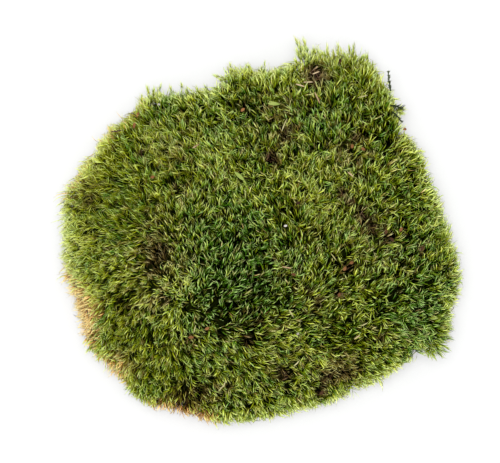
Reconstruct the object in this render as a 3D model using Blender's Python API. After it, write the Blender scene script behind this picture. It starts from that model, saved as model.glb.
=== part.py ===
"""A patch of dried mood moss, laid flat: one cushion of windswept tufts that splay out from its
crown, cut flat underneath, with the forest litter that is caught in it.

Frame: metres, +Z up. The cushion rests on Z = 0 and the middle of its box is on the Z axis.
Seen from above, +X is to the right and +Y is away from the viewer.
"""

import math
import random

import bpy
import bmesh
from mathutils import Matrix, Vector, geometry
from mathutils.bvhtree import BVHTree

MM = 0.001

# Driving dimensions, in millimetres and degrees

# How far the leaf tips reach from the Z axis: (direction, reach)
REACH = (
    (0, 171), (10, 164), (20, 161), (30, 162), (38, 160), (45, 171), (53, 179), (61, 185), (68, 175),
    (75, 171), (81, 155), (90, 149), (101, 153), (108, 138), (114, 143), (121, 149), (129, 163),
    (139, 163), (148, 170), (158, 175), (169, 182), (180, 179), (191, 181), (202, 179), (214, 185),
    (225, 183), (235, 186), (246, 176), (257, 175), (268, 169), (280, 163), (292, 165), (302, 166),
    (310, 170), (317, 175), (323, 181), (330, 192), (338, 186), (349, 183),
)
CROWN = Vector((-23, -47))  # the highest point, from which the shoots splay
SHOULDER_Z = 34  # where the top rounds over into the side
CROWN_RISE = 15  # how much higher the crown is than the shoulder
BELLY_Z = 16  # the height at which the cushion is widest
EDGE_ROUND = 28  # how far in from the belly the rounding begins
FOOT_INSET = 8  # how far the cut foot lies inside the belly
LUMP = 4.0  # swelling of the top

TUFT_SPACING = 11.2
TUFT_JITTER = 0.24  # as a share of the spacing
TUFT_HEIGHT = 8.5
TUFT_LEAN = 6.0
SWIRL = 25  # how far the lean is turned to the left of the way out from the crown
SHAGGY_SIDE = 55  # the direction from the crown in which the tufts are longest
SHAGGINESS = 0.22  # and how much longer they are there, and shorter on the far side
RIM_TUFT = 7.5  # how far the rim's tufts stand out of the belly
FOOT_STEP = 11.0  # spacing of the points around the cut foot
LOWEST_TIP = 1.5

LITTER_GAP = 0.5
SEED = 7

MOSS_GREEN = (0.105, 0.135, 0.022)
NEEDLE_TAN = (0.42, 0.22, 0.12)
STRAW_PALE = (0.55, 0.50, 0.24)
SCALE_RED = (0.38, 0.09, 0.035)
SCALE_BROWN = (0.16, 0.06, 0.03)
FLECK_WHITE = (0.72, 0.68, 0.55)
LEAF_GREEN = (0.30, 0.42, 0.12)
TWIG_BROWN = (0.10, 0.055, 0.03)
SPRIG_GREEN = (0.035, 0.055, 0.02)


def clear_scene():
    for old in list(bpy.data.objects):
        bpy.data.objects.remove(old)


def material(name, colour, roughness):
    made = bpy.data.materials.get(name) or bpy.data.materials.new(name)
    made.use_nodes = True
    shader = made.node_tree.nodes["Principled BSDF"]
    shader.inputs["Base Color"].default_value = (*colour, 1)
    shader.inputs["Roughness"].default_value = roughness
    shader.inputs["Metallic"].default_value = 0
    return made


def new_object(name, mesh, finish):
    """An object for this mesh of millimetre points, which it makes metres."""
    mesh.transform(Matrix.Scale(MM, 4))
    mesh.materials.append(finish)
    made = bpy.data.objects.new(name, mesh)
    bpy.context.scene.collection.objects.link(made)
    return made


# The cushion's skin

def reach_from_crown():
    """REACH measured again from the crown: (direction in radians, reach), in turning order."""
    found = []
    for direction, reach in REACH:
        turn = math.radians(direction)
        ray = Vector((reach * math.cos(turn), reach * math.sin(turn))) - CROWN
        found.append((math.atan2(ray.y, ray.x) % math.tau, ray.length))
    return sorted(found)


RAYS = reach_from_crown()


def reach_at(turn):
    """The reach of the tips in this direction from the crown, on a smooth closed curve."""
    turn %= math.tau
    count = len(RAYS)
    after = next((i for i, ray in enumerate(RAYS) if ray[0] > turn), 0)
    (t0, r0), (t1, r1), (t2, r2), (t3, r3) = (RAYS[(after + k) % count] for k in (-2, -1, 0, 1))
    span = (t2 - t1) % math.tau
    slope_1 = (r2 - r0) / ((t2 - t0) % math.tau)
    slope_2 = (r3 - r1) / ((t3 - t1) % math.tau)
    s = ((turn - t1) % math.tau) / span
    bend_1 = (s**3 - 2 * s**2 + s) * span * slope_1
    bend_2 = (s**3 - s**2) * span * slope_2
    return (2 * s**3 - 3 * s**2 + 1) * r1 + (3 * s**2 - 2 * s**3) * r2 + bend_1 + bend_2


def side_curve():
    """The side from the shoulder over the belly to the foot: (way along it, inset, height)."""
    steps = 16
    quarter = [math.pi / 2 * i / steps for i in range(steps + 1)]
    upper = [
        (EDGE_ROUND * (1 - math.sin(a)), BELLY_Z + (SHOULDER_Z - BELLY_Z) * math.cos(a))
        for a in quarter
    ]
    lower = [(FOOT_INSET * (1 - math.cos(a)), BELLY_Z * (1 - math.sin(a))) for a in quarter]
    points = upper + lower[1:]
    along, found = 0.0, [(0.0, *points[0])]
    for before, here in zip(points, points[1:]):
        along += math.dist(before, here)
        found.append((along, *here))
    return found


SIDE = side_curve()
SIDE_LENGTH = SIDE[-1][0]


def on_side(along):
    """(inset, height) this far down the side."""
    along = min(max(along, 0.0), SIDE_LENGTH)
    for (a, inset_a, z_a), (b, inset_b, z_b) in zip(SIDE, SIDE[1:]):
        if along <= b:
            share = (along - a) / (b - a)
            return inset_a + (inset_b - inset_a) * share, z_a + (z_b - z_a) * share
    return SIDE[-1][1:]


def top_length(turn):
    """How far the top runs from the crown to the shoulder."""
    return reach_at(turn) - RIM_TUFT - EDGE_ROUND


def swelling(x, y):
    """The gentle lumps of the top: two crossed sine waves and a slanting one."""
    return LUMP * (0.6 * math.sin(x / 17 + 1.1) * math.sin(y / 20 + 0.4) + 0.4 * math.sin(x / 31 - y / 23))


def skin(flat):
    """The point of the skin at this place of the skin laid out flat around the crown."""
    turn, way = math.atan2(flat.y, flat.x), flat.length
    top = top_length(turn)
    if way < top:
        out, share = way, way / top
        place = CROWN + Vector((math.cos(turn), math.sin(turn))) * out
        swell = swelling(place.x, place.y) * (1 - share**4)
        height = SHOULDER_Z + CROWN_RISE * (1 - share**2) + swell
    else:
        inset, height = on_side(way - top)
        out = top + EDGE_ROUND - inset
        place = CROWN + Vector((math.cos(turn), math.sin(turn))) * out
    return Vector((*place, height))


def skin_axes(flat, step=1.0):
    """(outward normal, way away from the crown) of the skin there, both of length 1."""
    east, north = Vector((step, 0)), Vector((0, step))
    normal = (skin(flat + east) - skin(flat - east)).cross(skin(flat + north) - skin(flat - north))
    ray = flat.normalized() * step
    away = skin(flat + ray) - skin(flat - ray)
    return normal.normalized(), away.normalized()


# The cushion's tufts

def foot_ring():
    """Flat places round the cut foot, about FOOT_STEP apart."""
    fine = [math.tau * i / 720 for i in range(721)]
    places = [Vector((math.cos(t), math.sin(t))) * (top_length(t) + SIDE_LENGTH) for t in fine]
    solid = [skin(p) for p in places]
    along = [0.0]
    for before, here in zip(solid, solid[1:]):
        along.append(along[-1] + (here - before).length)
    count = round(along[-1] / FOOT_STEP)
    wanted = [along[-1] * i / count for i in range(count)]
    return [places[next(i for i, a in enumerate(along) if a >= w)] for w in wanted]


def tuft_places(draw):
    """Flat places of the tufts: a jittered lattice of equal triangles, clear of the foot."""
    row_step = TUFT_SPACING * math.sqrt(3) / 2
    rows = int(260 / row_step)
    found = []
    for row in range(-rows, rows + 1):
        for column in range(-rows, rows + 1):
            shift = TUFT_SPACING / 2 * (row % 2)
            place = Vector((column * TUFT_SPACING + shift, row * row_step))
            jitter = Vector((draw.uniform(-1, 1), draw.uniform(-1, 1)))
            place += jitter * TUFT_JITTER * TUFT_SPACING
            turn = math.atan2(place.y, place.x)
            if place.length < top_length(turn) + SIDE_LENGTH - 0.62 * TUFT_SPACING:
                found.append(place)
    return found


def tuft_tip(flat, draw):
    """A tuft's tip: above its place, leaning out from the crown with the swirl, and less so down the
    side."""
    normal, away = skin_axes(flat)
    swirl = math.radians(SWIRL)
    leaning = away * math.cos(swirl) + normal.cross(away) * math.sin(swirl)
    turn = math.atan2(flat.y, flat.x)
    top = top_length(turn)
    on_top = min(1.0, flat.length / top)
    down_side = max(0.0, flat.length - top) / SIDE_LENGTH
    shag = 1 + SHAGGINESS * on_top * math.cos(turn - math.radians(SHAGGY_SIDE))
    lean = TUFT_LEAN * on_top * (1 - 1.5 * down_side)
    height = TUFT_HEIGHT * draw.uniform(0.72, 1.28)
    tip = skin(flat) + (normal * height + leaning * lean) * shag
    tip.z = max(tip.z, LOWEST_TIP)
    return tip


def tufted_cushion():
    """One closed body. Each tuft is a pyramid on its own cell: the cells' corners are the middles
    of the triangles that join neighbouring tufts, so the cells meet in valleys."""
    draw = random.Random(SEED)
    ring = foot_ring()
    centres = tuft_places(draw)
    flat = ring + centres
    flat, _, triangles, *_ = geometry.delaunay_2d_cdt(flat, [], [list(range(len(ring)))], 1, 1e-6)
    body = bmesh.new()
    corners = [
        body.verts.new(skin(p) if i < len(ring) else tuft_tip(p, draw)) for i, p in enumerate(flat)
    ]
    valleys = []
    sides_of = {}
    for number, (a, b, c) in enumerate(triangles):
        valleys.append(body.verts.new(skin((flat[a] + flat[b] + flat[c]) / 3)))
        for one, other in ((a, b), (b, c), (c, a)):
            sides_of[one, other] = number
    for (one, other), left in sides_of.items():
        right = sides_of.get((other, one))
        if right is None:
            body.faces.new((corners[one], corners[other], valleys[left]))
        else:
            body.faces.new((corners[one], valleys[right], valleys[left]))
    body.faces.new([corners[i] for i in reversed(range(len(ring)))])
    mesh = bpy.data.meshes.new("moss_cushion")
    body.to_mesh(mesh)
    body.free()
    return mesh


# The litter's shapes, along +X with their middle at the origin

def blade(stations, sides=6, cup=0.0, arch=0.0):
    """A closed blade with pointed ends. Each station is (x, half width, half thickness); arch
    bends it down towards its ends and cup lifts its edges."""
    half = max(abs(x) for x, *_ in stations)
    body = bmesh.new()
    rings = []
    for x, wide, thick in stations:
        ring = []
        for i in range(sides):
            a = math.tau * i / sides
            y = wide * math.cos(a)
            z = thick * math.sin(a) + cup * abs(y) - arch * (x / half) ** 2
            ring.append(body.verts.new((x, y, z)))
        rings.append(ring)
    for before, here in zip(rings, rings[1:]):
        for i in range(sides):
            j = (i + 1) % sides
            body.faces.new((before[i], here[i], here[j], before[j]))
    body.faces.new(rings[0])
    body.faces.new(reversed(rings[-1]))
    bmesh.ops.recalc_face_normals(body, faces=body.faces)
    mesh = bpy.data.meshes.new("blade")
    body.to_mesh(mesh)
    body.free()
    return mesh


def needle(length):
    """A fallen conifer needle: flat, blunt, a little arched."""
    half = length / 2
    shape = ((-1, 0.2, 0.15), (-0.9, 0.42, 0.3), (-0.3, 0.62, 0.36), (0.4, 0.62, 0.36), (0.9, 0.42, 0.28),
             (1, 0.15, 0.12))
    return blade([(x * half, w, t) for x, w, t in shape], arch=0.06 * length)


def straw(length):
    """A dry grass blade, narrow and bent."""
    half = length / 2
    shape = ((-1, 0.28, 0.18), (-0.5, 0.55, 0.3), (0, 0.55, 0.3), (0.5, 0.45, 0.25), (1, 0.12, 0.1))
    return blade([(x * half, w, t) for x, w, t in shape], sides=5, arch=0.12 * length)


def bud_scale(length):
    """A bud scale: a small pointed boat."""
    half = length / 2
    shape = ((-1, 0.3, 0.2), (-0.55, 1.15, 0.35), (0.1, 1.35, 0.35), (0.65, 0.8, 0.3), (1, 0.15, 0.12))
    return blade([(x * half, w, t) for x, w, t in shape], cup=0.45, arch=0.12 * length)


def fleck(length):
    """A crumb of pale wood."""
    half = length / 2
    shape = ((-1, 0.5, 0.4), (-0.4, 1.1, 0.75), (0.4, 1.0, 0.8), (1, 0.45, 0.35))
    return blade([(x * half, w, t) for x, w, t in shape], sides=5)


def oval_leaf(length):
    """A small fallen leaf, folded along its midrib."""
    half = length / 2
    shape = ((-1, 0.2, 0.16), (-0.8, 0.7, 0.26), (-0.35, 1.45, 0.28), (0.15, 1.6, 0.28), (0.6, 1.1, 0.26),
             (0.88, 0.45, 0.2), (1, 0.12, 0.1))
    return blade([(x * half, w, t) for x, w, t in shape], sides=8, cup=0.35, arch=0.1 * length)


def twig(length):
    """A bit of bare twig."""
    half = length / 2
    shape = ((-1, 0.5, 0.5), (-0.6, 0.7, 0.62), (-0.1, 0.6, 0.6), (0.3, 0.68, 0.6), (1, 0.35, 0.32))
    return blade([(x * half, w, t) for x, w, t in shape], arch=-0.05 * length)


def leafy_twig(length, leaves, leaf_length):
    """A thin stem with short pointed leaves round it, each drawn out of one face of the stem.
    It grows along +X from its cut end at the origin."""
    sides, radius = 5, 0.75
    rings = leaves + 2
    body = bmesh.new()
    grid = []
    for i in range(rings):
        share = i / (rings - 1)
        r = radius * (1 - 0.55 * share)
        sway = 0.05 * length * math.sin(2.2 * share)
        turn = 0.6 * i
        grid.append([
            body.verts.new((
                length * share,
                sway + r * math.cos(turn + math.tau * k / sides),
                r * math.sin(turn + math.tau * k / sides),
            ))
            for k in range(sides)
        ])
    for i in range(rings - 1):
        for k in range(sides):
            j = (k + 1) % sides
            a, b, c, d = grid[i][k], grid[i + 1][k], grid[i + 1][j], grid[i][j]
            middle = (a.co + b.co + c.co + d.co) / 4
            stem = Vector((middle.x, 0.05 * length * math.sin(2.2 * middle.x / length), 0))
            out = (middle - stem).normalized()
            bears_leaf = 0 < i < rings - 1 and (k + 2 * i) % sides in (0, 2)
            if not bears_leaf:
                body.faces.new((a, b, c, d))
                continue
            tip = body.verts.new(middle + out * leaf_length * 0.8 + Vector((leaf_length * 0.6, 0, 0)))
            for one, other in ((a, b), (b, c), (c, d), (d, a)):
                body.faces.new((one, other, tip))
    body.faces.new(grid[0])
    tip = body.verts.new((length + leaf_length * 0.5, grid[-1][0].co.y, 0))
    for k in range(sides):
        body.faces.new((grid[-1][k], grid[-1][(k + 1) % sides], tip))
    bmesh.ops.recalc_face_normals(body, faces=body.faces)
    mesh = bpy.data.meshes.new("leafy_twig")
    body.to_mesh(mesh)
    body.free()
    return mesh


# Laying the litter on the tufts

def flat_under(x, y):
    """The flat place whose skin point is at x, y, or at the belly if x, y lies past it."""
    ray = Vector((x, y)) - CROWN
    turn = math.atan2(ray.y, ray.x)
    top = top_length(turn)
    if ray.length <= top:
        return ray
    inset = max(0.0, top + EDGE_ROUND - ray.length)
    along = next((a for a, i, _ in SIDE if i <= inset + 1e-6), SIDE_LENGTH)
    return ray.normalized() * (top + along)


def tree_of(points, faces):
    return BVHTree.FromPolygons(points, faces)


def faces_of(mesh):
    return [tuple(p.vertices) for p in mesh.polygons]


def points_of(mesh):
    return [v.co.copy() for v in mesh.vertices]


def facing_at(flat):
    """Halfway between up and the skin's normal there."""
    normal, _ = skin_axes(flat)
    return (normal + Vector((0, 0, 1))).normalized()


def settle(mesh, x, y, direction, pitch, solids):
    """Turns the mesh to face halfway between up and the skin's normal, then moves it in until it is
    LITTER_GAP clear of the tufts, over x, y. Pitch lifts its +X end."""
    lift = facing_at(flat_under(x, y)) * TUFT_HEIGHT
    flat = flat_under(x - lift.x, y - lift.y)
    normal = facing_at(flat)
    turn = math.radians(direction)
    heading = Vector((math.cos(turn), math.sin(turn), 0))
    heading = (heading - normal * heading.dot(normal)).normalized()
    heading = heading * math.cos(math.radians(pitch)) + normal * math.sin(math.radians(pitch))
    across = normal.cross(heading).normalized()
    facing = Matrix((heading, across, heading.cross(across))).transposed().to_4x4()
    mesh.transform(facing)
    base = skin(flat)
    start, faces = points_of(mesh), faces_of(mesh)
    high, step = 24.0, 0.25
    while high > -2:
        placed = [base + p + normal * (high - step) for p in start]
        tree = tree_of(placed, faces)
        if any(tree.overlap(other) for other in solids):
            break
        high -= step
    mesh.transform(Matrix.Translation(base + normal * (high + LITTER_GAP)))
    solids.append(tree_of(points_of(mesh), faces))


# What lies where: (x, y, direction, length), seen from above
NEEDLES = (
    (41, 134, 2, 8.5), (34, 131, -17, 8), (49, 120, -66, 11), (47.5, 147, 45, 6.5), (22, -28, -10, 8),
    (78, 53, -40, 6.5), (-57, 78, 32, 7), (84, -90, 36, 6), (48, 142, 22, 6.5),
)
STRAWS = (
    (-11, -49, 35, 8), (31, -112, 45, 7), (63, -19, -52, 8), (26, -68, -60, 8), (20, 97, 68, 12),
    (88.5, 120.5, 14, 9), (-35, -134, 50, 8), (-32, -130, 68, 6), (90, -78, 26, 7), (-58, -82, 75, 7),
)
RED_SCALES = (
    (-111, 108, 70, 5.0), (-112, 97, 80, 6.0), (-16, 110, 40, 4.5), (-95, 51, 15, 4.0),
    (80, 78, 80, 4.0), (89, 75, -20, 4.0), (122, 5, 55, 4.5), (126, 93, 20, 4.0),
    (-47, -82, 25, 4.5), (-61, -89, 5, 5.0), (73, -29, 60, 4.5), (79, -24, 15, 4.0),
)
BROWN_SCALES = (
    (108, 3, 75, 5.0), (114, -4, -40, 5.5), (68, -52, 75, 4.0), (28, -34, -15, 4.5),
    (52, -137, 50, 5.0), (69, 152, 80, 5.0), (139, -12, 65, 4.5), (32, 28, 25, 4.0),
)
FLECKS = ((21, 8, 15, 3.0), (32, -86, 40, 2.6), (-90, 117, -20, 2.6))
LEAVES = ((11, 115, -4, 11), (-19, 51, -42, 12))
TWIGS = ((-128, 93, 4, 11),)
LEAFY_TWIGS = (
    # (x, y, direction, pitch, length, leaves, leaf length)
    (115.5, 127.5, 90, 10, 18, 9, 2.1),
    (115, 114, -16, 22, 11, 8, 4.6),
    (116.5, 108, -50, 14, 13, 7, 2.2),
)


def scatter(kind, shape, places, finish, solids):
    """One node for each place, named by kind and number."""
    for number, (x, y, direction, length) in enumerate(places, 1):
        mesh = shape(length)
        settle(mesh, x, y, direction, 0, solids)
        name = kind if len(places) == 1 else f"{kind}_{number:02d}"
        new_object(name, mesh, finish)


def build():
    clear_scene()
    cushion = tufted_cushion()
    solids = [tree_of(points_of(cushion), faces_of(cushion))]
    scatter("needle", needle, NEEDLES, material("needle_tan", NEEDLE_TAN, 0.6), solids)
    scatter("straw", straw, STRAWS, material("straw_pale", STRAW_PALE, 0.55), solids)
    scatter("red_scale", bud_scale, RED_SCALES, material("scale_red", SCALE_RED, 0.5), solids)
    scatter("brown_scale", bud_scale, BROWN_SCALES, material("scale_brown", SCALE_BROWN, 0.6), solids)
    scatter("wood_fleck", fleck, FLECKS, material("fleck_white", FLECK_WHITE, 0.7), solids)
    scatter("small_leaf", oval_leaf, LEAVES, material("leaf_green", LEAF_GREEN, 0.5), solids)
    scatter("bare_twig", twig, TWIGS, material("twig_brown", TWIG_BROWN, 0.8), solids)
    dark = material("sprig_green", SPRIG_GREEN, 0.6)
    for number, (x, y, direction, pitch, *shape) in enumerate(LEAFY_TWIGS, 1):
        mesh = leafy_twig(*shape)
        settle(mesh, x, y, direction, pitch, solids)
        new_object(f"leafy_twig_{number:02d}", mesh, dark)
    new_object("moss_cushion", cushion, material("moss_green", MOSS_GREEN, 0.75))


build()
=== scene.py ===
# %% [markdown]
# # A patch of dried mood moss
#
# Mood moss grows as a low cushion of upright shoots. Each shoot carries narrow, curved leaves, and on
# most of the cushion the shoots lean one way, out from the crown, as if wind had combed them. This lesson
# dresses a plain solid of such a patch. The solid gives the outline and the height; here we grow the
# leaves on it, lay the matted bed under them and give the caught forest litter its finishes.
#
# We start by loading the solids. Their box is kept, so that the finished moss can be measured against it.
# Their box is kept, because the finished moss may not outgrow it.

# %% The frame
import math

import bpy
import numpy as np
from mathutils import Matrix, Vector


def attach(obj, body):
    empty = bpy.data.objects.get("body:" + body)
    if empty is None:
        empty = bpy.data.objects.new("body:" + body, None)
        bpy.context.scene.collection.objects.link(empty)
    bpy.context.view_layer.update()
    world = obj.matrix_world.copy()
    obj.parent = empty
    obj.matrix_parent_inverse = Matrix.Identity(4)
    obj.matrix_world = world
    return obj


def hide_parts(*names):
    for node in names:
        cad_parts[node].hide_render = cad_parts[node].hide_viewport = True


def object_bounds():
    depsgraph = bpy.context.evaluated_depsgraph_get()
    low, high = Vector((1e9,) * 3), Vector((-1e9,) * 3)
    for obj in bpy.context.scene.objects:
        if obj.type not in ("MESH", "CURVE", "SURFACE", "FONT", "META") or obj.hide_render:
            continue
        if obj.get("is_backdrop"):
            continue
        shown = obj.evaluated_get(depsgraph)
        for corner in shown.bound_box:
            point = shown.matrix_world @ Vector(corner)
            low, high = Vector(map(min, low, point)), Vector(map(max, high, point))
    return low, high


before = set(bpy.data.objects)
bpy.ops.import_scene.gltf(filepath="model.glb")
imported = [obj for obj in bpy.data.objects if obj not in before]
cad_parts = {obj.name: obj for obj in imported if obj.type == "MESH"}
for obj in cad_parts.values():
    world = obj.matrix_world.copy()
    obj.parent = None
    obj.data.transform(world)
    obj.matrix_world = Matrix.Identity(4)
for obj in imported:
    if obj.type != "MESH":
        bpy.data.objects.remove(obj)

CAD_BOX = [list(corner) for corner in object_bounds()]
MM = 0.001
TAU = math.tau
print("solids", len(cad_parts), "box", [round(b - a, 3) for a, b in zip(*CAD_BOX)])

# %% [markdown]
# ## The skin of the cushion
#
# All the lengths below are in millimetres until a mesh is made. The cushion is a dome with a rounded edge.
# Seen from above its edge is a smooth closed curve through a few measured reaches. We could sculpt such a
# form, but a formula lets us ask for the skin's point and normal anywhere, for thousands of shoots at once.
# So the skin is laid out flat round the crown: the distance from the crown on the flat sheet is the way
# along the skin, first over the top, then down the side to the foot. The values are the solid's own.

# %% The outline and the profile
REACH = (
    (0, 171), (10, 164), (20, 161), (30, 162), (38, 160), (45, 171), (53, 179), (61, 185), (68, 175),
    (75, 171), (81, 155), (90, 149), (101, 153), (108, 138), (114, 143), (121, 149), (129, 163),
    (139, 163), (148, 170), (158, 175), (169, 182), (180, 179), (191, 181), (202, 179), (214, 185),
    (225, 183), (235, 186), (246, 176), (257, 175), (268, 169), (280, 163), (292, 165), (302, 166),
    (310, 170), (317, 175), (323, 181), (330, 192), (338, 186), (349, 183),
)
CROWN = np.array((-23.0, -47.0))
SHOULDER_Z = 34
CROWN_RISE = 15
BELLY_Z = 16
EDGE_ROUND = 28
FOOT_INSET = 8
RIM_TUFT = 7.5
LUMP = 4.0


def unit(vectors):
    """Each row divided by its length."""
    return vectors / np.maximum(np.linalg.norm(vectors, axis=-1, keepdims=True), 1e-9)


def towards(turn):
    """The level unit vector in each direction: (cos, sin)."""
    return np.stack((np.cos(turn), np.sin(turn)), -1)


def rays_from(middle):
    """REACH as directions and lengths seen from another middle, in turning order."""
    direction, reach = np.array(REACH, float).T
    ray = reach[:, None] * towards(np.radians(direction)) - middle
    turn = np.arctan2(ray[:, 1], ray[:, 0]) % TAU
    order = np.argsort(turn)
    return turn[order], np.linalg.norm(ray, axis=1)[order]


def round_curve(turn, rays):
    """A closed curve through the rays: between two of them a cubic whose slopes at its ends are those of
    the lines that join each ray's neighbours."""
    at, length = rays
    count = len(at)
    turn = np.mod(turn, TAU)
    after = np.searchsorted(at, turn, side="right")
    i0, i1, i2, i3 = ((after + k) % count for k in (-2, -1, 0, 1))
    span = (at[i2] - at[i1]) % TAU
    slope_1 = (length[i2] - length[i0]) / ((at[i2] - at[i0]) % TAU)
    slope_2 = (length[i3] - length[i1]) / ((at[i3] - at[i1]) % TAU)
    s = ((turn - at[i1]) % TAU) / span
    return (
        (2 * s**3 - 3 * s**2 + 1) * length[i1]
        + (3 * s**2 - 2 * s**3) * length[i2]
        + (s**3 - 2 * s**2 + s) * span * slope_1
        + (s**3 - s**2) * span * slope_2
    )


CROWN_RAYS = rays_from(CROWN)
AXIS_RAYS = rays_from(np.zeros(2))
quarter = np.linspace(0, math.pi / 2, 17)
SIDE_INSET = np.append(EDGE_ROUND * (1 - np.sin(quarter)), FOOT_INSET * (1 - np.cos(quarter[1:])))
SIDE_Z = np.append(
    BELLY_Z + (SHOULDER_Z - BELLY_Z) * np.cos(quarter), BELLY_Z * (1 - np.sin(quarter[1:]))
)
SIDE_ALONG = np.append(0, np.cumsum(np.hypot(np.diff(SIDE_INSET), np.diff(SIDE_Z))))
SIDE_LENGTH = SIDE_ALONG[-1]
print("the side is", round(SIDE_LENGTH, 1), "mm long from shoulder to foot")

# %% [markdown]
# ## The skin as a function
#
# The skin is a function from a place on the flat sheet to a point in space. Its normal could be worked out
# by hand, but the side's curve is a table, so we take differences of neighbouring points instead. Slow
# random waves serve all through the lesson, wherever something varies from place to place.

# %% The skin and its axes


def waves(x, y, size, seed):
    """A smooth random field of about -1 to 1: ten cosines of like wavelength in seeded directions."""
    draw = np.random.default_rng(seed)
    angle, phase = draw.uniform(0, TAU, (2, 10))
    step = TAU / (size * draw.uniform(0.75, 1.5, 10))
    found = [np.cos(k * (x * np.cos(a) + y * np.sin(a)) + p) for a, p, k in zip(angle, phase, step)]
    return np.sum(found, axis=0) / 3.2


def swelling(x, y):
    """The gentle lumps of the top: two crossed sine waves and a slanting one."""
    return LUMP * (0.6 * np.sin(x / 17 + 1.1) * np.sin(y / 20 + 0.4) + 0.4 * np.sin(x / 31 - y / 23))


def top_length(turn):
    """How far the top runs from the crown to the shoulder."""
    return round_curve(turn, CROWN_RAYS) - RIM_TUFT - EDGE_ROUND


def skin(flat):
    """The skin's point for each place of the flat sheet. Over the top the level distance equals the way
    and the height falls with its square; past the shoulder both follow the side's curve."""
    way = np.linalg.norm(flat, axis=-1)
    turn = np.arctan2(flat[..., 1], flat[..., 0])
    top = top_length(turn)
    beyond = way - top
    inset = np.interp(beyond, SIDE_ALONG, SIDE_INSET)
    out = np.where(beyond < 0, way, top + EDGE_ROUND - inset)
    place = CROWN + towards(turn) * out[..., None]
    share = np.clip(way / top, 0, 1)
    swell = swelling(place[..., 0], place[..., 1]) * (1 - share**4)
    over_top = SHOULDER_Z + CROWN_RISE * (1 - share**2) + swell
    height = np.where(beyond < 0, over_top, np.interp(beyond, SIDE_ALONG, SIDE_Z))
    return np.concatenate((place, height[..., None]), -1)


def skin_axes(flat, step=1.0):
    """The skin's outward normal, its way away from the crown and its way round it, by differences."""
    east, north = np.array((step, 0)), np.array((0, step))
    normal = np.cross(skin(flat + east) - skin(flat - east), skin(flat + north) - skin(flat - north))
    ray = unit(flat) * step
    away = unit(skin(flat + ray) - skin(flat - ray))
    normal = unit(normal)
    return normal, away, np.cross(normal, away)


print("the crown is", round(skin(np.array((0.1, 0.1)))[2], 1), "mm high")

# %% [markdown]
# ## Where the moss differs
#
# No two hand's breadths of the patch are alike. The crown is dark and bluish, the edges are yellow-green,
# and there are dull olive patches. We could paint an image of this, but nothing lies flat enough to be
# painted. So each patch is one row of a table, with its place on the photograph, its radius and its
# strength. Patches are round and fade outwards, and where they overlap they add up.

# %% From the photograph to the moss
PIXEL = 0.891  # millimetres on the moss for one pixel of the photograph
PHOTO_MIDDLE = np.array((261.0, 235.0))  # the pixel over the origin


def on_moss(px, py):
    """The level place of a photograph's pixel."""
    return (np.array((px, py)).T - PHOTO_MIDDLE) * (PIXEL, -PIXEL)


def patchwork(place, patches, lowest=0, highest=1):
    """How strongly each place lies in these patches: bell curves of the distance, added up and kept between
    two limits."""
    total = np.zeros(place.shape[:-1])
    for px, py, radius, strength in patches:
        distance = np.linalg.norm(place[..., :2] - on_moss(px, py), axis=-1)
        total += strength * np.exp(-((distance / (radius * PIXEL)) ** 2))
    return np.clip(total, lowest, highest)


print("the photograph's first pixel lies over", on_moss(0, 0).round(1), "mm")

# %% Cool and warm patches
# In all these tables a row is (pixel x, pixel y, radius in pixels, strength)
# Where the green is cool and dark
COOL_PATCHES = (
    (230, 256, 52, 1.0), (262, 292, 26, 0.6), (208, 318, 22, 0.4), (432, 305, 34, 0.5),
    (405, 245, 34, 0.35), (335, 118, 30, 0.3), (245, 108, 34, 0.3), (165, 108, 16, 0.4),
    (112, 215, 26, 0.25), (205, 365, 26, 0.25), (412, 318, 28, 0.6), (220, 300, 20, 0.4),
    (92, 335, 14, 0.9), (316, 122, 20, 0.4), (316, 332, 14, 0.4),
)
# Where it is a warm yellow-green
YELLOW_PATCHES = (
    (80, 230, 30, 0.9), (98, 175, 26, 0.8), (172, 150, 26, 0.5), (225, 178, 26, 0.4), (300, 190, 34, 0.5),
    (345, 60, 40, 0.3), (160, 330, 40, 0.35), (300, 345, 34, 0.3), (110, 290, 26, 0.6),
    (255, 75, 26, 0.5), (156, 205, 24, 0.4), (158, 285, 22, 0.4), (95, 140, 22, 1.0), (122, 108, 16, 1.0),
    (124, 364, 20, 0.9), (188, 398, 18, 1.0), (332, 366, 24, 0.4), (188, 230, 24, 0.2),
    (156, 262, 36, 0.35), (380, 332, 18, 0.4), (348, 140, 18, 0.4), (60, 172, 16, 0.5),
    (284, 300, 30, 0.2),
)
print(len(COOL_PATCHES), "cool patches and", len(YELLOW_PATCHES), "warm ones")

# %% Patches of old leaves and of fine ones
# Where the green is dull with old leaves
OLIVE_PATCHES = (
    (157, 258, 26, 0.7), (156, 208, 18, 0.4), (172, 152, 18, 0.6), (280, 145, 22, 0.5),
    (369, 221, 18, 0.4), (340, 368, 20, 0.65), (288, 368, 18, 0.5), (347, 266, 11, 0.5),
    (88, 183, 14, 0.6), (120, 360, 13, 0.8), (315, 295, 12, 0.5), (250, 338, 12, 0.4),
    (398, 150, 14, 0.4), (186, 195, 12, 0.4), (190, 400, 20, 0.9), (126, 302, 18, 0.5),
    (228, 388, 10, 0.4), (156, 236, 16, 0.4), (92, 140, 14, 0.8), (60, 172, 14, 0.7), (124, 108, 14, 0.4),
    (186, 268, 14, 0.3), (156, 302, 14, 0.6), (156, 268, 14, 0.4), (284, 109, 14, 0.4),
    (190, 398, 14, 0.3), (60, 268, 16, 0.6), (380, 256, 20, 0.4), (124, 364, 14, 0.5),
    (220, 394, 14, 0.4), (220, 332, 12, 0.3), (380, 332, 14, 0.3), (348, 154, 22, 0.8),
    (348, 364, 14, 0.9), (348, 236, 14, 0.4), (316, 76, 16, 0.8), (316, 236, 14, 0.4),
    (252, 312, 20, 0.5), (266, 109, 20, 0.4), (284, 268, 16, 0.5),
)
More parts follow.
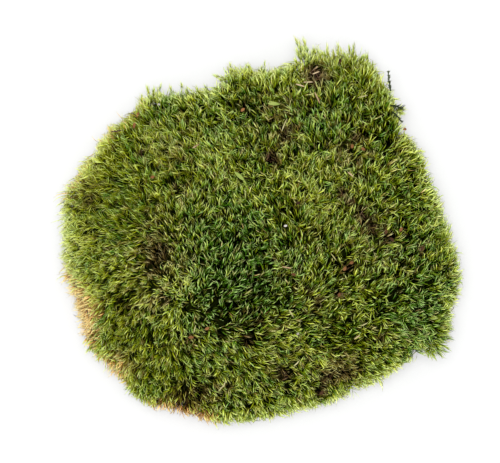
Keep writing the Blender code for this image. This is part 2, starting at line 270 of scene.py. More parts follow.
# Where the leaves are fine and combed like hair
FINE_PATCHES = (
    (80, 220, 38, 0.9), (85, 290, 36, 0.9), (120, 210, 36, 0.7), (165, 150, 40, 0.55),
    (120, 330, 34, 0.5), (310, 200, 30, 0.3), (450, 240, 22, 0.4), (180, 400, 26, 0.4),
    (115, 140, 22, 0.6), (150, 112, 22, 0.5), (95, 172, 26, 0.5), (145, 365, 26, 0.5),
    (150, 215, 24, 0.3), (300, 58, 34, 0.45), (250, 88, 30, 0.3), (348, 68, 28, 0.35),
    (436, 350, 12, 0.8), (400, 330, 20, 0.3),
)
print(len(OLIVE_PATCHES), "old patches and", len(FINE_PATCHES), "fine ones")

# %% Pale and dark patches
# Where the moss is paler, or with a negative strength darker
PALE_PATCHES = (
    (298, 49, 26, 1.2), (221, 77, 16, 1.2), (318, 79, 15, 0.6), (188, 107, 16, -0.4),
    (248, 109, 18, -1.1), (285, 109, 15, 0.7), (318, 110, 14, -0.5), (350, 107, 14, -0.4),
    (381, 129, 24, -1.4), (126, 124, 16, -0.6), (92, 141, 18, 0.7), (160, 144, 22, 1.1),
    (218, 148, 20, 1.1), (253, 141, 13, -0.6), (318, 140, 14, -0.7), (65, 171, 16, 0.7),
    (94, 173, 18, 0.5), (188, 173, 15, -1.2), (220, 186, 18, 0.4), (253, 173, 16, -1.1),
    (380, 174, 13, 0.3), (410, 173, 14, -0.5), (59, 204, 10, -0.5), (98, 206, 22, 0.4),
    (190, 202, 22, 0.3), (253, 203, 14, 0.6), (284, 206, 14, -1.3), (316, 196, 24, 1.1),
    (350, 206, 13, -0.4), (396, 206, 20, -0.7), (62, 232, 20, 0.9), (94, 240, 22, 0.6),
    (244, 236, 24, -1.2), (285, 237, 14, -0.9), (348, 236, 13, 0.8), (404, 240, 20, -0.7),
    (86, 272, 24, 1.1), (126, 264, 18, 0.4), (158, 262, 14, -0.4), (282, 262, 20, 0.5),
    (322, 248, 26, -0.8), (350, 270, 15, -0.9), (411, 268, 15, -0.7), (184, 282, 20, 0.8),
    (92, 304, 24, 1.8), (124, 301, 14, -2.0), (158, 300, 18, 1.3), (189, 298, 12, 1.2),
    (222, 300, 20, -1.5), (254, 304, 20, -1.2), (288, 302, 20, -0.8), (380, 300, 18, -1.4),
    (442, 300, 14, 0.5), (92, 334, 18, 0.9), (158, 334, 16, -1.3), (189, 329, 13, 0.5),
    (254, 334, 15, -1.4), (285, 333, 15, 0.6), (348, 333, 17, -1.7), (384, 336, 12, -0.6),
    (412, 331, 24, 1.3), (440, 348, 18, 0.6), (124, 365, 17, 1.5), (286, 365, 14, -0.5),
    (316, 364, 14, 1.0), (350, 366, 13, -0.5), (388, 372, 20, 0.5), (188, 397, 18, -1.5),
    (220, 396, 14, -0.3), (350, 392, 16, 0.4),
)
print(len(PALE_PATCHES), "pale and dark patches")

# %% [markdown]
# ## Hollows, gaps and tufts
#
# Some places differ in shape as well. In the hollows the shoots have died back, and what is left is short
# and purple-brown. Between neighbouring clumps there are short green gaps, and a few tufts have outgrown
# their neighbours. We could dent and raise the skin there, but the skin is the same: what differs is how
# well the shoots have grown. So rows of the same kind tell each shoot how long it may become.

# %% Hollows, gaps and tufts
# Where shoots have died back, and their leaves get painted shade
HOLLOWS = (
    (341, 192, 5, 0.9), (348, 202, 6, 0.7), (360, 214, 7, 0.8), (370, 227, 7, 0.8), (387, 237, 6, 0.9),
    (315, 76, 9, 1.0), (271, 159, 7, 1.0), (285, 133, 8, 0.7), (355, 139, 6, 0.7), (162, 250, 9, 0.7),
    (152, 266, 7, 0.6), (167, 299, 6, 0.6), (178, 188, 5, 0.7), (142, 153, 4, 0.8), (242, 108, 5, 0.7),
    (191, 338, 6, 0.7), (248, 339, 6, 0.9), (285, 373, 8, 0.8), (328, 376, 7, 0.8), (345, 373, 6, 0.6),
    (317, 303, 5, 0.7), (308, 289, 4, 0.7), (340, 292, 5, 0.7), (399, 290, 4, 0.7), (420, 249, 4, 0.8),
    (88, 202, 6, 0.6), (321, 391, 7, 0.8), (379, 338, 5, 0.6), (189, 308, 4, 0.3), (297, 202, 4, 0.5),
    (347, 266, 6, 0.8), (186, 404, 5, 0.5),
)
# Between clumps of shoots: short and green, made dark with painted shade
GAPS = (
    (222, 239, 7, 0.9), (260, 293, 6, 0.9), (275, 275, 6, 0.8), (233, 232, 5, 0.6), (404, 321, 6, 0.7),
    (334, 92, 6, 0.6), (277, 111, 6, 0.7), (425, 265, 5, 0.7), (430, 278, 5, 0.7), (288, 305, 5, 0.6),
    (340, 192, 5, 0.6), (120, 158, 6, 0.5), (257, 92, 7, 0.6), (404, 362, 9, 1.0), (229, 90, 6, 0.5),
)
# Taller than their neighbours
TALL_TUFTS = (
    (97, 338, 9, 1.0), (436, 350, 12, 1.0), (150, 100, 8, 0.6), (303, 62, 8, 0.8), (355, 60, 9, 0.7),
    (191, 306, 8, 0.7), (225, 319, 8, 0.5), (316, 46, 12, 0.5),
)
print(len(HOLLOWS), "hollows,", len(GAPS), "gaps and", len(TALL_TUFTS), "tall tufts")

# %% [markdown]
# ## The edge
#
# Low on the left and at the foot of the photograph the older, orange-brown growth under the green shows as
# a fringe, and a fainter one runs along the upper left. Most of the edge is painted lighter than the rest,
# for the light that shines through its free-standing leaves, but in a few places it isn't. Where the outline
# has a notch, nothing grows. Patches would do for the fringe too, but it follows the edge, so we give it as
# arcs: a direction from the middle, a width to either side and a depth.

# %% Fringes and notches
# (pixel x, pixel y, radius in pixels)
NOTCHES = (
    (83, 146, 12), (64, 171, 9), (97, 121, 6), (419, 359, 7), (355, 393, 6), (407, 113, 5), (56, 188, 5),
    (294, 54, 6), (320, 52, 4), (345, 52, 3), (363, 53, 3), (386, 78, 4), (222, 72, 4), (127, 104, 8),
)
# (direction from the origin, half width in degrees, depth in millimetres, strength)
FRINGES = (
    (193, 3, 9, 1), (198, 4, 18, 1), (204, 6, 21, 1), (209, 4, 17, 1), (222, 5, 17, 0.8), (247, 9, 13, 1),
    (162, 9, 14, 0.35), (150, 8, 12, 0.45), (137, 6, 12, 0.35),
)
# (pixel x, pixel y, radius in pixels, strength), where the edge gets little of the painted rim light
DIM_EDGES = (
    (185, 402, 30, 1.0), (132, 366, 26, 0.8), (436, 350, 20, 0.4), (124, 106, 20, 0.6),
    (188, 108, 16, 0.5), (250, 404, 26, 0.6), (100, 345, 16, 0.5), (155, 388, 24, 0.4),
)


def edge_distance(place):
    """How far inside the tips' outline each place lies, along its ray from the origin."""
    turn = np.arctan2(place[..., 1], place[..., 0])
    return round_curve(turn, AXIS_RAYS) - np.linalg.norm(place[..., :2], axis=-1)


def fringe_at(place):
    """How orange each place is: it falls evenly from the fringe's strength near the tips to 0 a little past
    its depth, and fades towards the ends of its arc."""
    turn = np.degrees(np.arctan2(place[..., 1], place[..., 0]))
    inside = edge_distance(place)
    total = np.zeros(place.shape[:-1])
    for direction, half, depth, strength in FRINGES:
        off = np.abs((turn - direction + 180) % 360 - 180)
        ends = np.clip((half - off) / 7 + 0.5, 0, 1)
        total = np.maximum(total, strength * ends * np.clip(1.3 - inside / depth, 0, 1))
    return total


print(len(FRINGES), "stretches of fringe and", len(NOTCHES), "notches")

# %% [markdown]
# ## The lay of the leaves
#
# On most of the cushion the shoots lean one way, as if wind had combed them, and the way turns slowly from
# place to place. It doesn't simply point out from the crown: it swirls round it to the left, and in the
# dark heart it runs straight across. A table holds the direction at some places of the photograph. Angles
# can't be blended as numbers, since 359 and 1 would give 180. So between these places we blend unit vectors,
# each weighted by a bell curve of its distance. Where neighbours disagree the sum is short, and we use its
# length: there the shoots stand up instead of leaning, and their leaves open out.

# %% The lay
# (pixel x, pixel y, direction in degrees, counter-clockwise from the right)
LAY = (
    (72, 225, 190), (76, 275, 194), (98, 330, 212), (112, 352, 222), (148, 382, 262), (228, 400, 302),
    (105, 150, 138), (165, 110, 113), (240, 95, 116), (315, 70, 82), (378, 95, 84), (408, 182, 22),
    (440, 250, 62), (446, 305, 10), (400, 345, 344), (300, 390, 330), (125, 215, 155), (120, 265, 182),
    (140, 300, 232), (168, 150, 130), (168, 235, 150), (172, 320, 264), (210, 350, 316), (225, 150, 120),
    (200, 205, 106), (258, 175, 108), (200, 250, 92), (225, 258, 84), (255, 290, 42), (232, 302, 30),
    (290, 262, 90), (290, 312, 30), (290, 350, 350), (315, 150, 102), (345, 170, 96), (345, 220, 68),
    (378, 260, 60), (350, 310, 16), (276, 232, 115), (323, 205, 76), (204, 230, 42), (398, 208, 26),
    (182, 276, 76),
)
LAY_BLEND = 22.0  # millimetres, for the direction
AGREE_BLEND = 34.0  # for how far the neighbours agree


def lay_at(place, blend):
    """The blended direction vectors of the lay, of length 0 to 1."""
    px, py, direction = np.array(LAY, float).T
    spots = on_moss(px, py)
    apart = np.linalg.norm(place[:, None, :2] - spots[None], axis=-1)
    weight = np.exp(-((apart / blend) ** 2)) + 1e-12
    weight /= weight.sum(1, keepdims=True)
    return weight @ towards(np.radians(direction))


print("the lay is read at", len(LAY), "places")

# %% [markdown]
# ## The shoots
#
# A real cushion this wide has tens of thousands of shoots. From a step away the eye reads tufts: each is the
# head of one shoot, a small fan of curved leaves with a dark gap beside it. We set out shoots on a jittered
# lattice of equal triangles on the flat sheet. Hair curves would be the quick way to grow them, but they
# don't survive as a mesh, so each leaf is a closed spike, and all the leaves are worked out in one go.

# %% Where each shoot grows
SHOOT_SPACING = 3.25
SHOOT_JITTER = 0.3  # as a share of the spacing
FARTHEST = 265  # past the foot in every direction
SEED = 11

draw = np.random.default_rng(SEED)


def shoot_places():
    """Flat places on a lattice of equal triangles, each moved at random, out to the foot."""
    row_step = SHOOT_SPACING * math.sqrt(3) / 2
    rows = int(FARTHEST / row_step)
    row, column = np.mgrid[-rows : rows + 1, -rows : rows + 1]
    x = (column + 0.5 * (row % 2)) * SHOOT_SPACING
    flat = np.stack((x, row * row_step), -1).reshape(-1, 2)
    flat += draw.uniform(-1, 1, flat.shape) * SHOOT_JITTER * SHOOT_SPACING
    turn = np.arctan2(flat[:, 1], flat[:, 0])
    return flat[np.linalg.norm(flat, axis=1) < top_length(turn) + SIDE_LENGTH - 2.0]


flat = shoot_places()
print(len(flat), "shoots")

# %% [markdown]
# ## How each shoot has grown and leans
#
# Shoots aren't planted in rows, and neighbours lean on each other in clumps. A physical settling of 12,000
# shoots would find the clumps by itself, but slowly. A pull towards the ridges of a smooth random field
# gives the same look. Some shoots have also done better than others, and those have longer leaves and stems.

# %% How well it has grown
RIM_WIDTH = 22  # how far in from the edge the shoots differ more
SHAGGY_SIDE = 55  # the direction in which they are longest
CLUMP_SIZE = 9.0  # the usual distance of two clumps
CLUMP_PULL = 0.03  # how strongly their shoots lean together


def slope_of_waves(x, y, size, seed, step=0.5):
    """The two slopes of a smooth random field, for a pull towards its ridges."""
    east = waves(x + step, y, size, seed) - waves(x - step, y, size, seed)
    north = waves(x, y + step, size, seed) - waves(x, y - step, size, seed)
    return np.stack((east, north), -1) * size / (2 * step * TAU)


def vigour_at(root):
    """How well each shoot has grown, about 1: random, with slow waves, more on the shaggy side and in tall
    tufts, less in hollows and gaps. At the rim it varies most, which gives the outline its wisps."""
    x, y = root[:, 0], root[:, 1]
    turn = np.arctan2(y, x)
    at_rim = np.clip(1 - edge_distance(root) / RIM_WIDTH, 0, 1)
    vigour = 1 + 0.10 * waves(x, y, 15, 4) + 0.08 * waves(x, y, 45, 5)
    vigour += (0.07 + 0.12 * at_rim) * draw.normal(0, 1, len(root))
    vigour += 0.12 * np.cos(turn - math.radians(SHAGGY_SIDE)) * np.clip(np.hypot(x, y) / 150, 0, 1)
    tall, hollow, gap = (patchwork(root, patches) for patches in (TALL_TUFTS, HOLLOWS, GAPS))
    vigour += 0.35 * tall - 0.32 * hollow - 0.4 * gap
    return np.clip(vigour, 0.35, 1.8)


# %% Which way it leans
MOST_LEAN = 58  # degrees from the skin's normal
SIDE_LEAN = 24  # the same, at the foot
LEAN_SPREAD = 14  # how much the lean differs from shoot to shoot
TURN_SPREAD = 37  # and how much its direction does
STEM = 6.5  # how long the leafy part of a shoot's stem is
SUNK = 4.5  # how far it starts below the skin
OPEN_OUT = 1.6  # its leaves spread by this times what the lay's agreement is short of 0.5


def moss_shoots(flat):
    """Each shoot's root on the skin, its direction, and the way it is combed. The lay is turned into the
    skin's own axes by its angle from the ray out of the crown. The lean on top is MOST_LEAN times a share:
    1.3 of the neighbours' agreement and 0.05, kept between 0.3 and 1. Down the side it fades."""
    root = skin(flat)
    normal, away, round_way = skin_axes(flat)
    x, y = root[:, 0], root[:, 1]
    way = np.linalg.norm(flat, axis=1)
    ray = np.arctan2(flat[:, 1], flat[:, 0])
    side = np.clip((way - top_length(ray)) / SIDE_LENGTH, 0, 1)
    lay = lay_at(root, LAY_BLEND)
    agreed = np.linalg.norm(lay_at(root, AGREE_BLEND), axis=1)
    lean = MOST_LEAN * np.clip(1.3 * agreed + 0.05, 0.3, 1) * (1 - side) + SIDE_LEAN * side
    fine = patchwork(root, FINE_PATCHES)
    rough = 1 + 0.1 * fine
    lean += rough * LEAN_SPREAD * (0.3 * waves(x, y, 24, 1) + draw.normal(0, 1, len(flat)))
    swing = np.arctan2(lay[:, 1], lay[:, 0]) - ray
    turned = rough * draw.normal(0, TURN_SPREAD, len(flat))
    swing += np.radians(22 * (1 - 0.6 * fine) * waves(x, y, 13, 3) + turned)
    lean, swing = np.radians(lean)[:, None], swing[:, None]
    combed = np.cos(swing) * away + np.sin(swing) * round_way
    pull = slope_of_waves(x, y, CLUMP_SIZE, 12) * CLUMP_PULL
    heading = np.cos(lean) * normal + np.sin(lean) * combed
    heading[:, :2] += pull * (1 - side)[:, None]
    vigour = vigour_at(root)
    return {
        "root": root, "heading": unit(heading), "combed": combed, "normal": normal, "vigour": vigour,
        "stem": STEM * vigour, "sunk": np.full(len(root), SUNK), "fine": fine,
        "opening": 1 - 0.2 * fine + OPEN_OUT * np.clip(0.5 - agreed, 0, 0.5),
    }


shoots = moss_shoots(flat)
print("their vigour is", round(shoots["vigour"].min(), 2), "to", round(shoots["vigour"].max(), 2))

# %% [markdown]
# ## Sprigs at the rim
#
# Along the top of the photograph, and in a few places lower down, some shoots have grown well past the
# others and stand out against the white. Left to chance they would come anywhere, and it is they that make
# the outline this patch's own. So each has a row with the pixels of its foot and its tip. It is a bundle
# of shoots: the longest runs from foot to tip, and shorter ones start beside it and along it.

# %% Sprigs
# (foot pixel x, y, tip pixel x, y, thickness of its leaves)
SPRIGS = (
    (305, 64, 297, 40, 1.1), (306, 64, 305, 41, 1.1), (310, 65, 308, 49, 1.0), (314, 66, 314, 49, 0.9),
    (330, 70, 328, 48, 1.1), (334, 70, 334, 54, 1.0), (337, 70, 338, 48, 1.2), (342, 70, 342, 52, 1.0),
    (352, 72, 354, 48, 1.2), (350, 70, 350, 49, 0.9), (358, 68, 362, 60, 1.0), (371, 76, 369, 57, 1.2),
    (373, 78, 375, 66, 0.9), (382, 88, 381, 74, 0.9), (386, 99, 386, 86, 0.8), (346, 70, 346, 57, 0.9),
    (321, 70, 321, 57, 1.0), (325, 70, 325, 56, 0.9), (251, 82, 249, 67, 0.8), (263, 80, 264, 64, 0.8),
    (301, 74, 297, 61, 0.9), (236, 84, 230, 64, 0.7), (228, 84, 216, 75, 0.7), (152, 108, 147, 89, 1.0),
    (153, 106, 152, 92, 1.0), (158, 108, 159, 86, 0.8), (174, 107, 170, 89, 0.9),
    (184, 104, 180, 85, 0.8), (190, 105, 187, 91, 0.9), (203, 103, 197, 89, 0.8),
    (213, 100, 206, 87, 0.8), (141, 112, 140, 97, 0.7), (396, 106, 405, 103, 1.0),
    (396, 108, 404, 106, 0.9), (430, 340, 445, 347, 1.2), (429, 342, 442, 350, 1.2),
    (428, 343, 439, 353, 1.2), (426, 343, 434, 354, 1.1), (424, 342, 430, 352, 1.1),
    (98, 338, 87, 350, 0.8), (94, 330, 84, 341, 0.8), (62, 205, 58, 201, 0.7), (306, 67, 301, 46, 1.2),
    (309, 67, 306, 52, 1.2), (304, 68, 299, 52, 1.2), (432, 333, 447, 338, 1.1),
    (434, 325, 449, 329, 1.0),
)
SPRIG_SHOOTS = 8  # for each row of the table
SPRIG_SPREAD = 2.6  # how far in pixels the shorter ones stand beside the longest, at its foot
SPRIG_RISE = 0.3  # how far a sprig climbs for each millimetre it reaches out
SPRIG_NEARER = 0.98  # their tips look farther out, being nearer to the camera than the outline
SPRIG_LEAF = 9.5  # its last leaves reach this far past its stem
SPRIG_VIGOUR = 0.62  # a sprig's leaves are shorter than a shoot's
SHORTEST_STEM = 3.0


def sprig_shoots():
    """The sprigs as shoots. The foot's place is found on the flat sheet by its ray out of the crown: level
    over the top, and past the shoulder where the side's inset equals what is left."""
    rows = np.repeat(np.array(SPRIGS, float), SPRIG_SHOOTS, axis=0)
    start = np.arange(len(rows)) % SPRIG_SHOOTS / SPRIG_SHOOTS
    off = SPRIG_SPREAD * (1 - start) * (start > 0) * draw.normal(0, 1, (2, len(rows)))
    part = np.where(start > 0, draw.uniform(0.5, 0.95, len(rows)), 1) * (1 - start)
    foot, thick = on_moss(*(rows[:, :2].T + off)), rows[:, 4]
    tip = on_moss(*(rows[:, 2:4].T + 0.9 * off)) * SPRIG_NEARER
    ray = foot - CROWN
    turn, out = np.arctan2(ray[:, 1], ray[:, 0]), np.linalg.norm(ray, axis=1)
    top = top_length(turn)
    upper = slice(None, len(SIDE_INSET) // 2)
    over = np.interp(out - top, EDGE_ROUND - SIDE_INSET[upper], SIDE_ALONG[upper])
    root = skin(towards(turn) * np.where(out < top, out, top + over)[:, None])
    reach = np.linalg.norm(tip - foot, axis=1)
    heading = unit(np.column_stack((tip - foot, SPRIG_RISE * reach)))
    aside = np.column_stack((-heading[:, 1], heading[:, 0], np.zeros(len(heading))))
    combed = unit(heading + aside * draw.uniform(-1, 1, (len(heading), 1)))
    root = root + heading * (start * reach)[:, None]
    stem = np.maximum(part * reach * 1.04 - SPRIG_LEAF, SHORTEST_STEM)
    count = len(root)
    return {
        "root": root, "heading": heading, "combed": combed, "normal": np.tile((0.0, 0, 1), (count, 1)),
        "vigour": SPRIG_VIGOUR * thick, "stem": stem, "sunk": np.zeros(count),
        "fine": np.full(count, 0.8), "opening": np.full(count, 0.5),
    }


sprigs = sprig_shoots()
shoots = {name: np.concatenate((values, sprigs[name])) for name, values in shoots.items()}
print(len(sprigs["root"]), "shoots in", len(SPRIGS), "sprigs")

# %% [markdown]
# ## The leaves
#
# Each shoot bears a whorl of leaves that leave the stem at a turn of 137.5 degrees from one to the next, as
# most mosses' leaves do. A leaf starts a little away from the shoot's direction and bends over in the
# combed direction, like a sickle. Its cross-section is a low triangle: flat above, keeled below. The upper
# leaves bend in two steps. The lower ones are mostly hidden, so a single bend is enough, and half the faces.

# %% Leaves as arrays
LEAVES = 6  # on each shoot
LOWER_LEAVES = 2  # of them
GOLDEN = math.radians(137.5)
LEAF_LENGTH = 11.0
LEAF_WIDTH = 0.72
KEEL = 0.36  # as a share of the width
LOWEST = 0.5  # no point of a leaf lies nearer to the table
JOINTS = (0.36, 0.36, 0.28)  # the shares of a leaf's length between its foot, its two rings and its tip

# Between the two rings there are quads, and three triangles close each end
UPPER_FACES = (
    np.array(((1, 2, 5, 4), (2, 3, 6, 5), (3, 1, 4, 6))),
    np.array(((0, 2, 1), (0, 3, 2), (0, 1, 3), (4, 5, 7), (5, 6, 7), (6, 4, 7))),
)
LOWER_POINTS = np.array((0, 1, 2, 3, 7))  # of the eight
LOWER_FACES = (np.array(((0, 2, 1), (0, 3, 2), (0, 1, 3), (1, 2, 4), (2, 3, 4), (3, 1, 4))),)


def grow_leaves(shoots):
    """Eight points for each leaf: its foot, three round each of two rings, and its tip. The first part runs
    along the heading turned out by its spread; the next two turn back towards the heading and bend over
    in the combed direction. Returns the points, each leaf's shoot and its share of the way up the stem."""
    count = len(shoots["root"])
    shoot = np.repeat(np.arange(count), LEAVES)
    order = np.tile(np.arange(LEAVES), count)
    size = len(shoot)
    share = 1 - (order + draw.uniform(0, 1, size)) / LEAVES
    vigour, fine = shoots["vigour"][shoot], shoots["fine"][shoot]

    stem, comb, out = (shoots[name][shoot] for name in ("heading", "combed", "normal"))
    across = unit(np.cross(stem, comb + 0.3 * out))
    up = np.cross(across, stem)
    angle = GOLDEN * order + np.repeat(draw.uniform(0, TAU, count), LEAVES)
    off = np.cos(angle)[:, None] * across + np.sin(angle)[:, None] * up

    spread = (40 - 28 * share) * shoots["opening"][shoot] + draw.normal(0, 8, size)
    spread = np.radians(spread)[:, None]
    bend = draw.uniform(0.5, 1.4, (size, 1)) * (1 - 0.3 * fine)[:, None]
    aside = np.cross(out, comb) * draw.uniform(-0.7, 0.9, (size, 1))
    length = LEAF_LENGTH * vigour * (1.1 - 0.25 * share) * (1 + 0.12 * fine) * draw.uniform(0.75, 1.2, size)
    length = length[:, None]
    foot = shoots["root"][shoot] - out * shoots["sunk"][shoot][:, None]
    foot = foot + stem * (shoots["stem"][shoot] * (0.15 + share))[:, None]
    first = unit(np.cos(spread) * stem + np.sin(spread) * off)
    second = unit(first + 0.25 * stem + bend * (0.34 * comb + 0.25 * aside - 0.14 * out))
    third = unit(second + bend * (0.6 * comb + 1.0 * aside - 0.3 * out))
    low = foot + first * length * JOINTS[0]
    high = low + second * length * JOINTS[1]
    tip = high + third * length * JOINTS[2]

    width = LEAF_WIDTH * (1.2 - 0.5 * fine) * draw.uniform(0.65, 1.35, size)
    width = (width * (0.6 + 0.4 * vigour))[:, None]
    wide = unit(np.cross(first, off + 0.35 * out)) * width / 2
    keel = unit(np.cross(first, wide)) * width * KEEL
    ring = np.stack((wide, -wide, keel), 1)
    points = (foot[:, None], low[:, None] + ring, high[:, None] + 0.9 * ring, tip[:, None])
    points = np.concatenate(points, 1)
    points[..., 2] = np.maximum(points[..., 2], LOWEST)
    return points, shoot, share, order >= LEAVES - LOWER_LEAVES


points, shoot, level, lower = grow_leaves(shoots)
print(len(points), "leaves")

# %% [markdown]
# ## Trimming the edge
#
# At the real edge the moss ends in single leaf tips. A cut along the outline would look mown, so chance
# decides: the farther past the edge a leaf reaches, the less likely it stays.

# %% Leaves past the edge
WISP_START = 2.0  # how far inside the outline the leaves begin to thin out
WISP = 2.6  # how far past that about a third of them still reach
LOBES = 1.6  # how far slow waves move the edge in and out


def wild(points, shoot):
    """Which leaves pass the edge too far. From WISP_START inside it a leaf stays with a chance of
    exp(-distance / WISP), so the edge thins out into wisps. Slow waves make the edge lobed, and where a
    leaf's tip lies in a notch it goes. Sprigs keep all their leaves."""
    tip = points[:, 7]
    past = WISP_START + LOBES * waves(tip[:, 0], tip[:, 1], 17, 25) - edge_distance(tip)
    stray = past > draw.exponential(WISP, len(points))
    for px, py, radius in NOTCHES:
        stray |= np.linalg.norm(tip[:, :2] - on_moss(px, py), axis=1) < radius * PIXEL
    return stray & (shoot < len(flat))


kept = ~wild(points, shoot)
points, shoot, level, lower = points[kept], shoot[kept], level[kept], lower[kept]
print(len(points), "leaves are left, the highest tip at", round(points[..., 2].max(), 1), "mm")

# %% [markdown]
# ## Leaves under the litter
#
# Needles, bud scales and straws lie on the moss and press its leaves down. We could bend those leaves
# aside, but from above that looks the same as leaving them out. Each bit is taken as a short rod, and most
# of the leaves that would pass over the rod go.

# %% Clearing the litter
LITTER = [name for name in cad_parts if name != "moss_cushion"]
CLEAR = 0.4  # how far beside the rod the leaves are cleared, in millimetres
OVERLAP = 0.15  # the share of those leaves that stay, over the litter


def node_points(name):
    """A solid's points, in millimetres."""
    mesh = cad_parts[name].data
    found = np.empty(len(mesh.vertices) * 3, np.float32)
    mesh.vertices.foreach_get("co", found)
    return found.reshape(-1, 3).astype(float) / MM


def rod_of(name):
    """A bit of litter as a rod: its two ends and half its width. The ends lie along its longest axis."""
    cloud = node_points(name)
    middle = cloud.mean(0)
    axis = np.linalg.svd(cloud - middle, full_matrices=False)[2][0]
    along = (cloud - middle) @ axis
    off = np.linalg.norm((cloud - middle) - along[:, None] * axis, axis=1)
    return middle + axis * along.min(), middle + axis * along.max(), off.max()


def covers(spots, low, high, half):
    """Which spots lie over the rod: close to it seen from above, and higher than its axis there."""
    line = high[:2] - low[:2]
    share = np.clip(((spots[..., :2] - low[:2]) @ line) / max(line @ line, 1e-6), 0, 1)
    near = low[:2] + share[..., None] * line
    height = low[2] + share * (high[2] - low[2])
    close = np.linalg.norm(spots[..., :2] - near, axis=-1) < half + CLEAR
    return close & (spots[..., 2] > height - half)


covered = np.zeros(len(points), bool)
spots = np.stack((points[:, 1:4].mean(1), points[:, 4:7].mean(1), points[:, 7]), 1)
for name in LITTER:
    covered |= covers(spots, *rod_of(name)).any(1)
covered &= draw.uniform(0, 1, len(points)) > OVERLAP
points, shoot, level, lower = points[~covered], shoot[~covered], level[~covered], lower[~covered]
print(int(covered.sum()), "leaves left out over", len(LITTER), "bits of litter")

# %% [markdown]
# ## What each leaf carries
#
# On the real patch the colour changes from leaf to leaf more than from place to place. A shader could find
# a leaf's place but not the leaf, so what it needs is worked out here. A leaf's colour follows from five
# numbers, kept on its points: how far along the leaf the point is (along), the leaf's lightness (light),
# which holds painted shade low in the canopy and in the gaps and painted light at the rim, how yellow or
# blue its green is (tint), how old and dull it has become (age), and how far it has died back (dead).

# %% The leaves' numbers
ALONG = np.repeat(np.cumsum((0, *JOINTS)), (1, 3, 3, 1))  # of its eight points, by its joints
OLD_LEAVES = 0.03  # the share of leaves that have browned early, outside the hollows
# Painted light: leaves near the edge are made lighter, most towards the bright side, the sprigs less
RIM_LIGHT_REACH = 22.0  # how far in from the edge the leaves are lighter
RIM_BRIGHT_SIDE = 170  # the direction in which they are lightest
SPRIG_RIM_LIGHT = 0.8  # the sprigs' share of it


def leaf_numbers(points, shoot, level):
    """light, tint, age and dead of every leaf, each of 0 to 1. Only light goes on to 1.5, at the rim, where
    it
    is painted rim light. Each is a sum: its usual value, what the patches add at that place, slow waves, and
    a random part for the shoot and for the leaf. Light also holds painted shade on lower leaves, in gaps and
    in hollows."""
    middle = points[:, 4:7].mean(1)
    x, y, z = middle.T
    count, shoot_count = len(points), shoot.max() + 1
    cool, yellow = patchwork(middle, COOL_PATCHES), patchwork(middle, YELLOW_PATCHES)
    hollow, gap = patchwork(middle, HOLLOWS), patchwork(middle, GAPS)
    fine = patchwork(middle, FINE_PATCHES)
    inside = edge_distance(middle)
    sunny = np.cos(np.arctan2(y, x) - math.radians(RIM_BRIGHT_SIDE))
    of_shoot = draw.uniform(-1, 1, shoot_count)[shoot]
    low = np.clip((15 - z) / 10, 0, 1)
    # Lightness, with painted shade: a shoot's lower leaves, under its upper ones, are darker, and no two are
    # alike
    contrast = (1.2 - 0.6 * fine) * (1 + 0.5 * cool)
    own = draw.uniform(-1, 1, count)
    light = 0.48 - 0.14 * cool + contrast * (0.88 * (level - 0.5) + 0.05 * of_shoot + 0.46 * own)
    light += 0.04 * waves(x, y, 18, 8) + 0.25 * patchwork(middle, PALE_PATCHES, -1.6, 1.5)
    # Painted light: the rim is lighter, reaching farthest in on the bright side. Hollows and gaps get painted
    # shade
    rim = np.clip(1 - inside / (RIM_LIGHT_REACH * (1 + 0.22 * sunny)), 0, 1)
    rim = rim * np.where(shoot < len(flat), 1, SPRIG_RIM_LIGHT) * (1 - 0.75 * patchwork(middle, DIM_EDGES))
    light = np.minimum(light - 0.5 * hollow - 0.28 * gap, 0.97) + (0.98 + 0.12 * sunny) * rim**2
    # Tint and age: mostly from place to place, then from shoot to shoot
    tint = 0.51 + 0.4 * yellow - 0.65 * cool + 0.12 * waves(x, y, 30, 6) + 0.22 * waves(x, y, 9, 9)
    # The rim's extra yellow goes with its painted light
    tint += 0.28 * of_shoot + 0.16 * draw.normal(0, 1, count) + 0.25 * rim
    age = 0.04 + 0.45 * patchwork(middle, OLIVE_PATCHES) + 0.35 * hollow
    age += 0.15 * (1 - 0.5 * fine) * waves(x, y, 9, 7)
    age += 0.12 * draw.normal(0, 1, shoot_count)[shoot] + 0.4 * low - 0.15 * rim
    age += 0.6 * (1 - level) * np.clip(waves(x, y, 8, 27) - 0.2, 0, 1)
    age = np.minimum(age, 0.55)
    # Some leaves have browned early, and in the fringe many are orange
    old = draw.uniform(0, 1, count) < OLD_LEAVES + 0.2 * hollow
    age = np.where(old, draw.uniform(0.35, 0.62, count), age)
    light += 0.12 * old
    fringe = fringe_at(middle)
    orange = fringe > draw.uniform(0.15, 0.95, count)
    age = np.where(orange, draw.uniform(0.75, 1.0, count), age - 0.3 * fringe)
    tint += fringe
    light = np.where(orange, np.minimum(light, 1.2), light) + 0.25 * fringe
    dead = 1.35 * hollow * draw.uniform(0.5, 1.2, count) - 0.1
    tops = {"light": 1.5, "tint": 1, "age": 1, "dead": 1}
    return {name: np.clip(v, 0, tops[name]) for name, v in zip(tops, (light, tint, age, dead))}


numbers = leaf_numbers(points, shoot, level)
print({name: round(float(values.mean()), 2) for name, values in numbers.items()}, "on average")

# %% [markdown]
# ## Making the meshes
#
# The leaves go into six meshes, rings round the crown with a like number of leaves in each, because a
# single mesh of 700,000 triangles is slow to handle. Every leaf also gets its own small square on a UV map,
# so that a painted copy of the material can be drawn on it leaf by leaf. Adding the points one by one would
# take minutes, so whole arrays are handed over.

# %% Mesh helpers
def added(name, data):
    """A new object of this name and data, linked to the scene."""
    made = bpy.data.objects.new(name, data)
    bpy.context.scene.collection.objects.link(made)
    return made


